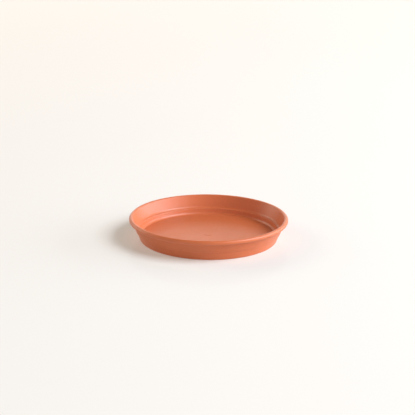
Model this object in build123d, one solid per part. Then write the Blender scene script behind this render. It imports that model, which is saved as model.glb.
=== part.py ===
from build123d import *
import math
import os

# Plant saucer: one injection-moulded dish, round about +Z.
# The origin is the centre of the foot ring, on the surface that the saucer stands on.
# Lengths are in millimetres and angles in degrees.

# Overall sizes
outer_diameter = 200.0
overall_height = 28.0
wall_thickness = 1.8
wall_lean = 20.0

# Lip: rolled outwards and down, with a skirt that hangs clear of the wall
lip_width = 4.7
lip_depth = 5.2
lip_roll_share = 0.532
lip_shoulder_share = 0.64
lip_crown_share = 0.35
crown_slope = 22.0
crown_fillet = 1.6
lip_inner_edge = 0.5
skirt_thickness = 1.5
skirt_bevel = 1.0
skirt_fillet = 1.0

# Ledge inside the wall, and the shadow step outside it
ledge_height = 11.4
ledge_width = 2.2
ledge_slope = 25.0
ledge_fillet = 3.8
ledge_edge = 0.4
step_drop = 0.8
step_inset = 0.9
step_rise = 0.5

# Floor, with a cove up into the lower wall that meets the floor at a crisp line
floor_height = 4.2
floor_thickness = 1.8
lower_wall_lean = 15.0
cove_radius = 4.2
cove_slope = 25.0
cove_run_out = 0.2

# Foot ring that lifts the floor off the surface
foot_width = 2.2
foot_draft = 0.3
foot_bevel = 0.5
foot_bevel_slope = 22.0
foot_fillet = 1.0

# Support ring halfway out under the floor, a little short of the surface
ring_diameter = 92.0
ring_width = 1.6
ring_draft = 0.2
ring_relief = 0.3

# Moulding gate at the centre: a well below, and a pad above that keeps the floor's thickness
gate_diameter = 11.0
gate_depth = 0.3
gate_slope = 1.0
gate_nub_diameter = 2.4
gate_nub_height = 0.2


def run(height, slope):
    """Level length over which a slope of that angle gains a height."""
    return height / math.tan(math.radians(slope))


def rise(width, slope):
    """Height that a slope of that angle gains over a level length."""
    return width * math.tan(math.radians(slope))


# Places worked out from the sizes above
outer_radius = outer_diameter / 2
lip_roll = lip_width * lip_roll_share
lip_shoulder = lip_roll * lip_shoulder_share
lip_crown = lip_width * lip_crown_share
lip_bottom = overall_height - lip_depth
lip_inner_radius = outer_radius - lip_width
lip_inner_height = overall_height - rise(lip_crown, crown_slope)
channel_roof = overall_height - wall_thickness
skirt_inner_radius = outer_radius - skirt_thickness
wall_run = wall_thickness / math.cos(math.radians(wall_lean))
step_height = ledge_height - step_drop
floor_underside = floor_height - floor_thickness
ring_radius = ring_diameter / 2
gate_radius = gate_diameter / 2
gate_nub_radius = gate_nub_diameter / 2


def upper_inner(height):
    """Radius of the upper wall's inner face, which leans out to the lip's inner edge."""
    return lip_inner_radius - rise(lip_inner_height - height, wall_lean)


def upper_outer(height):
    """Radius of the upper wall's outer face, one wall thickness out."""
    return upper_inner(height) + wall_run


def lower_outer(height):
    """Radius of the lower wall's outer face, set in by the shadow step."""
    return upper_outer(height) - step_inset


# The outline is walked from the axis, out along the underside, up the outside, over the lip and
# back in to the axis. Each corner is a radius, a height and the fillet that rounds it.


def underside_corners():
    """Gate well, support ring and the inner side of the foot ring."""
    well_top = floor_underside + gate_depth
    ring_inner = ring_radius - ring_width / 2
    ring_outer = ring_radius + ring_width / 2
    foot_inner = lower_outer(0) - foot_width
    return [
        (0, well_top - gate_nub_height, 0),
        (gate_nub_radius, well_top - gate_nub_height, 0),
        (gate_nub_radius, well_top, 0),
        (gate_radius - gate_slope, well_top, 0),
        (gate_radius, floor_underside, 0),
        (ring_inner - ring_draft, floor_underside, 0),
        (ring_inner, ring_relief, 0),
        (ring_outer, ring_relief, 0),
        (ring_outer + ring_draft, floor_underside, 0),
        (foot_inner - foot_draft, floor_underside, 0),
        (foot_inner, 0, 0),
    ]


def outside_corners():
    """Foot, lower wall, shadow step and upper wall up to the channel under the lip."""
    foot_outer = lower_outer(foot_bevel)
    step_top = step_height + step_rise
    return [
        (foot_outer - run(foot_bevel, foot_bevel_slope), 0, 0),
        (foot_outer, foot_bevel, foot_fillet),
        (lower_outer(step_height), step_height, 0),
        (upper_outer(step_top), step_top, 0),
        (upper_outer(channel_roof), channel_roof, 0),
    ]


def lip_corners():
    """Skirt, roll and crown of the lip, from its channel to its inner edge."""
    return [
        (skirt_inner_radius, channel_roof, 0),
        (skirt_inner_radius, lip_bottom, 0),
        (outer_radius - skirt_bevel, lip_bottom, 0),
        (outer_radius, lip_bottom + skirt_bevel, skirt_fillet),
        (outer_radius, overall_height - lip_shoulder, lip_roll),
        (outer_radius - lip_shoulder, overall_height, lip_roll),
        (lip_inner_radius + lip_crown, overall_height, crown_fillet),
        (lip_inner_radius, lip_inner_height, lip_inner_edge),
    ]


def inside_corners():
    """Upper wall, sloping ledge, lower wall, cove, floor and gate pad."""
    ledge_top = ledge_height + rise(ledge_width, ledge_slope)
    ledge_outer = upper_inner(ledge_top)
    ledge_inner = ledge_outer - ledge_width
    cove_turn = 90 - lower_wall_lean - cove_slope
    cove_length = rise(cove_radius, cove_turn / 2) + cove_run_out
    cove_height = cove_length * math.sin(math.radians(cove_slope))
    cove_top = floor_height + cove_height
    cove_outer = ledge_inner - rise(ledge_height - cove_top, lower_wall_lean)
    pad_top = floor_height + gate_depth
    return [
        (ledge_outer, ledge_top, ledge_fillet),
        (ledge_inner, ledge_height, ledge_edge),
        (cove_outer, cove_top, cove_radius),
        (cove_outer - run(cove_height, cove_slope), floor_height, 0),
        (gate_radius, floor_height, 0),
        (gate_radius - gate_slope, pad_top, 0),
        (0, pad_top, 0),
    ]


def saucer():
    """The whole moulding, as its outline turned once about the axis."""
    corners = underside_corners() + outside_corners() + lip_corners() + inside_corners()
    with BuildPart() as dish:
        with BuildSketch(Plane.XZ):
            with BuildLine():
                FilletPolyline(
                    [(radius, height) for radius, height, fillet in corners],
                    radius=[fillet for radius, height, fillet in corners],
                    close=True,
                )
            make_face()
        revolve(axis=Axis.Z)
    return dish.part


os.makedirs("parts", exist_ok=True)
export_step(saucer(), "parts/saucer.step")
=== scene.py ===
import math

import bpy
from mathutils import Matrix, Vector


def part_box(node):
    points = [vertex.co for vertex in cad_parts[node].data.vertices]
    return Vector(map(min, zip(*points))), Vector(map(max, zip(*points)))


# Camera, as fitted to the photograph, in pixels, metres and degrees, with its sensor in millimetres
PHOTO_PIXELS = 415
FOCAL_PIXELS = 1264.5
ORIGIN_PIXEL = (208.45, 237.4)
SENSOR_WIDTH = 36.0
VIEW_DISTANCE = 1.6
VIEW_AZIMUTH = -90.0
VIEW_ELEVATION = 18.43
VIEW_ROLL = 0.573
VIEW_DEPTH = 100.0

# Lights, in metres, degrees and watts
LIGHT_DISTANCE = 4.0
KEY_AZIMUTH = -18.0
KEY_ELEVATION = 42.0
KEY_SIZE = (2.9, 2.0)
KEY_POWER = 210.0
KEY_COLOR = (0.84, 0.9, 1.0)
SIDE_AZIMUTH = 8.0
SIDE_ELEVATION = 12.5
SIDE_SIZE = (5.2, 1.05)
SIDE_POWER = 128.0
SIDE_COLOR = (0.8, 0.88, 1.0)
BACK_AZIMUTH = 90.0
BACK_ELEVATION = 17.0
BACK_SIZE = (3.6, 2.05)
BACK_POWER = 20.5
BACK_COLOR = (1.0, 0.96, 0.93)
FILL_AZIMUTH = 153.0
FILL_ELEVATION = 21.0
FILL_SIZE = (2.2, 2.3)
FILL_POWER = 51.0
FILL_COLOR = (1.0, 0.94, 0.75)

# Sky: its strength low down and overhead, and the elevations, as sines, that it fades between
SKY_COLOR = (1.0, 0.86, 0.735, 1.0)
SKY_HORIZON = 0.74
SKY_ZENITH = 0.02
SKY_LOW = 0.3
SKY_HIGH = 0.9

# Floor: a pale sheet, with a painted glow that lifts the shadows on it
FLOOR_SIZE = 14.0
FLOOR_COLOR = (0.622, 0.595, 0.56, 1.0)
FLOOR_ROUGHNESS = 0.1
FLOOR_SPECULAR = 0.01
# Painted glow: emission over the whole floor that lifts its shadows
FLOOR_GLOW = 0.218
FLOOR_GLOW_COLOR = (1.0, 0.97, 0.89, 1.0)

# Plastic
PLASTIC_COLOR = (0.585, 0.148, 0.053, 1.0)
PLASTIC_IOR = 1.49
PLASTIC_ROUGHNESS = 0.37

# Mottle, gloss patches, speckle, grain and orange peel: how many to the metre, and how much
NOISE_LOW = 0.3
NOISE_HIGH = 0.7
NOISE_DETAIL = 2.0
MOTTLE_SCALE = 25.0
MOTTLE_VALUE = 0.015
GLOSS_SCALE = 60.0
GLOSS_SWING = 0.02
SPECKLE_SCALE = 2500.0
SPECKLE_VALUE = 0.015
GRAIN_SCALE = 1800.0
GRAIN_HEIGHT = 20e-6
PEEL_SCALE = 150.0
PEEL_HEIGHT = 5e-6

# Wear on the edges that rub, with a painted highlight along them: the radius and height of each, as
# shares of the saucer's own
LIP_CREST_SHARES = (0.974, 0.9964)
LEDGE_EDGE_SHARES = (0.877, 0.407)
FOOT_EDGE_SHARES = (0.856, 0.0036)
WEAR_REACH = 0.0012
WEAR_SCALE = 90.0
# How much lighter the worn edges are: part wear, part painted highlight
WEAR_AND_HIGHLIGHT_VALUE = 0.04
WEAR_FADE = 0.05
WEAR_POLISH = 0.05

# Fine scuffs round the floor, where pots have been turned, up to a share of the saucer's height
SCUFF_TOP_SHARE = 0.171
SCUFF_ROUND = 4.0
SCUFF_ACROSS = 1500.0
SCUFF_FAINT = 0.58
SCUFF_STRONG = 0.72
SCUFF_VALUE = 0.025
SCUFF_ROUGHNESS = 0.04


def join(tree, value, socket):
    """Set the socket to a value, or link it to another node's output."""
    if isinstance(value, bpy.types.NodeSocket):
        tree.links.new(value, socket)
    else:
        socket.default_value = value


def node(tree, kind, **inputs):
    """A shader node with its named inputs set."""
    made = tree.nodes.new(kind)
    for name, value in inputs.items():
        join(tree, value, made.inputs[name.replace("_", " ")])
    return made


def calculate(tree, operation, *values):
    """The result of an operation on numbers."""
    made = tree.nodes.new("ShaderNodeMath")
    made.operation = operation
    for socket, value in zip(made.inputs, values):
        join(tree, value, socket)
    return made.outputs[0]


def measure(tree, operation, output, *values):
    """The named output of an operation on vectors."""
    made = tree.nodes.new("ShaderNodeVectorMath")
    made.operation = operation
    for socket, value in zip(made.inputs, values):
        join(tree, value, socket)
    return made.outputs[output]


def ramp(tree, value, low, high, at_low, at_high):
    """A smooth change from one strength to another as value goes from low to high."""
    made = node(
        tree,
        "ShaderNodeMapRange",
        Value=value,
        From_Min=low,
        From_Max=high,
        To_Min=at_low,
        To_Max=at_high,
    )
    made.interpolation_type = "SMOOTHSTEP"
    return made.outputs[0]


def noise(tree, place, scale, low, high):
    """Soft random patches, that many to the metre, as a value from low to high."""
    made = node(tree, "ShaderNodeTexNoise", Vector=place, Scale=scale, Detail=NOISE_DETAIL)
    return ramp(tree, made.outputs[0], NOISE_LOW, NOISE_HIGH, low, high)


def edge_wear_and_highlight(tree, place, radius, height, outer_radius, top):
    """How worn the plastic is, from 0 to 1, in uneven patches along the edges that rub; the same
    mask also carries a painted highlight along these edges.
    """
    section = node(tree, "ShaderNodeCombineXYZ", X=radius, Z=height).outputs[0]
    nearest = 0.0
    for radius_share, height_share in (LIP_CREST_SHARES, LEDGE_EDGE_SHARES, FOOT_EDGE_SHARES):
        edge = (outer_radius * radius_share, 0.0, top * height_share)
        away = measure(tree, "DISTANCE", "Value", section, edge)
        near = ramp(tree, away, 0.0, WEAR_REACH, 1.0, 0.0)
        nearest = calculate(tree, "MAXIMUM", nearest, near)
    return calculate(tree, "MULTIPLY", nearest, noise(tree, place, WEAR_SCALE, 0.0, 1.0))


def floor_scuffs(tree, level, radius, height, top):
    """How scuffed the plastic is, from 0 to 1: in thin arcs round the floor."""
    direction = measure(tree, "NORMALIZE", "Vector", level)
    round_axis = measure(tree, "MULTIPLY", "Vector", direction, (SCUFF_ROUND,) * 3)
    across = calculate(tree, "MULTIPLY", radius, SCUFF_ACROSS)
    lift = node(tree, "ShaderNodeCombineXYZ", Z=across).outputs[0]
    arcs = node(
        tree,
        "ShaderNodeTexNoise",
        Vector=measure(tree, "ADD", "Vector", round_axis, lift),
        Scale=1.0,
        Detail=NOISE_DETAIL,
    ).outputs[0]
    strength = ramp(tree, arcs, SCUFF_FAINT, SCUFF_STRONG, 0.0, 1.0)
    on_floor = calculate(tree, "LESS_THAN", height, top * SCUFF_TOP_SHARE)
    return calculate(tree, "MULTIPLY", strength, on_floor)


def weigh(tree, base, *parts):
    """The base plus each part, a value and the weight that it counts with."""
    total = base
    for value, weight in parts:
        total = calculate(tree, "MULTIPLY_ADD", value, weight, total)
    return total


def saucer_material(outer_radius, top):
    """Terracotta-coloured moulded plastic: satin, faintly mottled, finely grained, lightly worn,
    with a painted highlight along the worn edges.
    """
    material = bpy.data.materials.new("terracotta_plastic")
    material.use_nodes = True
    tree = material.node_tree
    shader = tree.nodes["Principled BSDF"]
    place = tree.nodes.new("ShaderNodeTexCoord").outputs["Object"]
    split = node(tree, "ShaderNodeSeparateXYZ", Vector=place)
    height = split.outputs["Z"]
    flat = node(tree, "ShaderNodeCombineXYZ", X=split.outputs["X"], Y=split.outputs["Y"])
    level = flat.outputs[0]
    radius = measure(tree, "LENGTH", "Value", level)

    mottle = noise(tree, place, MOTTLE_SCALE, -1.0, 1.0)
    speckle = noise(tree, place, SPECKLE_SCALE, -1.0, 1.0)
    gloss = noise(tree, place, GLOSS_SCALE, -1.0, 1.0)
    wear_and_highlight = edge_wear_and_highlight(tree, place, radius, height, outer_radius, top)
    scuffs = floor_scuffs(tree, level, radius, height, top)
    # Lighter rubbed edges: part wear, part painted highlight along the lip, ledge and foot edges
    lightness = weigh(
        tree,
        1.0,
        (mottle, MOTTLE_VALUE),
        (speckle, SPECKLE_VALUE),
        (wear_and_highlight, WEAR_AND_HIGHLIGHT_VALUE),
        (scuffs, SCUFF_VALUE),
    )
    color = node(
        tree,
        "ShaderNodeHueSaturation",
        Saturation=weigh(tree, 1.0, (wear_and_highlight, -WEAR_FADE)),
        Value=lightness,
        Color=PLASTIC_COLOR,
    )
    roughness = weigh(
        tree,
        PLASTIC_ROUGHNESS,
        (gloss, GLOSS_SWING),
        (wear_and_highlight, -WEAR_POLISH),
        (scuffs, SCUFF_ROUGHNESS),
    )
    relief = weigh(
        tree,
        0.0,
        (noise(tree, place, GRAIN_SCALE, 0.0, 1.0), GRAIN_HEIGHT),
        (noise(tree, place, PEEL_SCALE, 0.0, 1.0), PEEL_HEIGHT),
    )
    bump = node(tree, "ShaderNodeBump", Height=relief, Strength=1.0, Distance=1.0)
    join(tree, color.outputs[0], shader.inputs["Base Color"])
    join(tree, roughness, shader.inputs["Roughness"])
    join(tree, bump.outputs[0], shader.inputs["Normal"])
    join(tree, PLASTIC_IOR, shader.inputs["IOR"])
    return material


def floor_material():
    """White acrylic, with a faint reflection and a painted glow that lifts the shadows on it."""
    material = bpy.data.materials.new("white_floor")
    material.use_nodes = True
    finish = {
        "Base Color": FLOOR_COLOR,
        "Roughness": FLOOR_ROUGHNESS,
        "Specular IOR Level": FLOOR_SPECULAR,
        # Painted glow: emission that lifts the shadows on the floor
        "Emission Color": FLOOR_GLOW_COLOR,
        "Emission Strength": FLOOR_GLOW,
    }
    shader = material.node_tree.nodes["Principled BSDF"]
    for name, value in finish.items():
        shader.inputs[name].default_value = value
    return material


def add_floor():
    """A wide level floor under the saucer."""
    half = FLOOR_SIZE / 2
    mesh = bpy.data.meshes.new("floor")
    corners = [(-half, -half, 0), (half, -half, 0), (half, half, 0), (-half, half, 0)]
    mesh.from_pydata(corners, [], [(0, 1, 2, 3)])
    floor = bpy.data.objects.new("floor", mesh)
    bpy.context.scene.collection.objects.link(floor)
    mesh.materials.append(floor_material())


def around(azimuth, elevation, distance):
    """The point at that azimuth from +X, elevation and distance."""
    a, e = math.radians(azimuth), math.radians(elevation)
    return Vector((math.cos(a) * math.cos(e), math.sin(a) * math.cos(e), math.sin(e))) * distance


def add_light(name, azimuth, elevation, size, power, color):
    """A soft rectangular light that faces the saucer."""
    data = bpy.data.lights.new(name, "AREA")
    data.shape = "RECTANGLE"
    data.size, data.size_y = size
    data.energy = power
    data.color = color
    light = bpy.data.objects.new(name, data)
    light.location = around(azimuth, elevation, LIGHT_DISTANCE)
    light.rotation_euler = light.location.to_track_quat("Z", "Y").to_euler()
    bpy.context.scene.collection.objects.link(light)


def add_lights():
    """A high key at the right, a long low light beside it, and wide fills behind and at the left."""
    add_light("key", KEY_AZIMUTH, KEY_ELEVATION, KEY_SIZE, KEY_POWER, KEY_COLOR)
    add_light("side", SIDE_AZIMUTH, SIDE_ELEVATION, SIDE_SIZE, SIDE_POWER, SIDE_COLOR)
    add_light("back", BACK_AZIMUTH, BACK_ELEVATION, BACK_SIZE, BACK_POWER, BACK_COLOR)
    add_light("fill", FILL_AZIMUTH, FILL_ELEVATION, FILL_SIZE, FILL_POWER, FILL_COLOR)


def add_sky():
    """A studio that glows softly all round, low down."""
    world = bpy.data.worlds.new("studio")
    bpy.context.scene.world = world
    world.use_nodes = True
    tree = world.node_tree
    place = tree.nodes.new("ShaderNodeTexCoord").outputs["Generated"]
    up = node(tree, "ShaderNodeSeparateXYZ", Vector=place).outputs["Z"]
    sky = tree.nodes["Background"]
    join(tree, SKY_COLOR, sky.inputs["Color"])
    join(tree, ramp(tree, up, SKY_LOW, SKY_HIGH, SKY_HORIZON, SKY_ZENITH), sky.inputs["Strength"])


def add_camera():
    """The photograph's camera: the saucer's origin falls on ORIGIN_PIXEL."""
    data = bpy.data.cameras.new("camera")
    data.sensor_width = SENSOR_WIDTH
    data.lens = FOCAL_PIXELS / PHOTO_PIXELS * SENSOR_WIDTH
    data.clip_end = VIEW_DEPTH
    camera = bpy.data.objects.new("camera", data)
    bpy.context.scene.collection.objects.link(camera)
    place = around(VIEW_AZIMUTH, VIEW_ELEVATION, VIEW_DISTANCE)
    facing = place.to_track_quat("Z", "Y").to_matrix().to_4x4()
    middle = PHOTO_PIXELS / 2
    ray = Vector(
        (
            (ORIGIN_PIXEL[0] - middle) / FOCAL_PIXELS,
            (middle - ORIGIN_PIXEL[1]) / FOCAL_PIXELS,
            -1.0,
        )
    )
    aim = Vector((0, 0, -1)).rotation_difference(ray.normalized()).to_matrix().to_4x4()
    roll = Matrix.Rotation(math.radians(VIEW_ROLL), 4, "Z")
    camera.matrix_world = Matrix.Translation(place) @ facing @ roll @ aim.inverted()
    bpy.context.scene.camera = camera


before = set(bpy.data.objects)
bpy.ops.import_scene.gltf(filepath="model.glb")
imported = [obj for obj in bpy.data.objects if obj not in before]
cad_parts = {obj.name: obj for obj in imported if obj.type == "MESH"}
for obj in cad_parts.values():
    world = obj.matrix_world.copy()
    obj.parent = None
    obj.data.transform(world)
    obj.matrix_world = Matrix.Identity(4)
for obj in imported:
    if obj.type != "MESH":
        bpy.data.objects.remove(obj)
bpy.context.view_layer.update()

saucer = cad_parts["saucer"]
outer_radius, _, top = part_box("saucer")[1]
saucer.data.materials.clear()
saucer.data.materials.append(saucer_material(outer_radius, top))

add_floor()
add_sky()
add_lights()
add_camera()
bpy.context.scene.view_settings.view_transform = "Standard"
